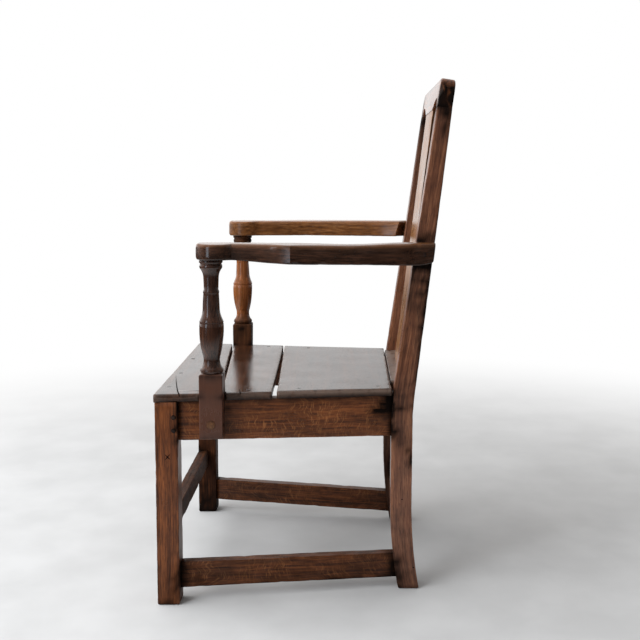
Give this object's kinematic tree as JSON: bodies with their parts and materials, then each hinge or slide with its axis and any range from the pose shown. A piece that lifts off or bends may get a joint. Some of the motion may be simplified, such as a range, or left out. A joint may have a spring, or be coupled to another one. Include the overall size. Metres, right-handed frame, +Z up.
{
  "type": "joined oak armchair",
  "caption": "Joined oak armchair with a plain splat back under an arched crest, flat shaped arms on turned supports, a boarded seat, square front legs and low stretchers.",
  "frame": {"origin": "on the floor, under the middle of the chair's overall box", "axes": "+Z up, -Y the way the chair faces, +X to the left of a person sitting in it"},
  "size_m": [0.62, 0.557, 0.992],
  "materials": {
    "frame_oak": "waxed, worn",
    "seat_oak": "dark, polished by use",
    "arm_oak": "polished by handling",
    "back_oak": "waxed, worn",
    "peg_oak": "dark end grain",
    "nail_iron": "dull, hand forged"
  },
  "bodies": {
    "root": {"front_leg_left": "frame_oak", "front_leg_right": "frame_oak", "back_post_left": "frame_oak", "back_post_right": "frame_oak", "front_seat_rail": "frame_oak", "back_seat_rail": "frame_oak", "side_seat_rail_left": "frame_oak", "side_seat_rail_right": "frame_oak", "front_stretcher": "frame_oak", "back_stretcher": "frame_oak", "side_stretcher_left": "frame_oak", "side_stretcher_right": "frame_oak", "seat_board_front": "seat_oak", "seat_board_middle": "seat_oak", "seat_board_back": "seat_oak", "arm_left": "arm_oak", "arm_right": "arm_oak", "arm_support_left": "arm_oak", "arm_support_right": "arm_oak", "splat_shoe": "back_oak", "crest_rail": "back_oak", "back_splat": "back_oak", "side_rail_pegs": "peg_oak", "front_rail_pegs": "peg_oak", "back_rail_pegs": "peg_oak", "arm_support_pegs": "peg_oak", "crest_pegs": "peg_oak", "arm_pegs": "peg_oak", "seat_nails": "nail_iron"}
  },
  "joints": []
}
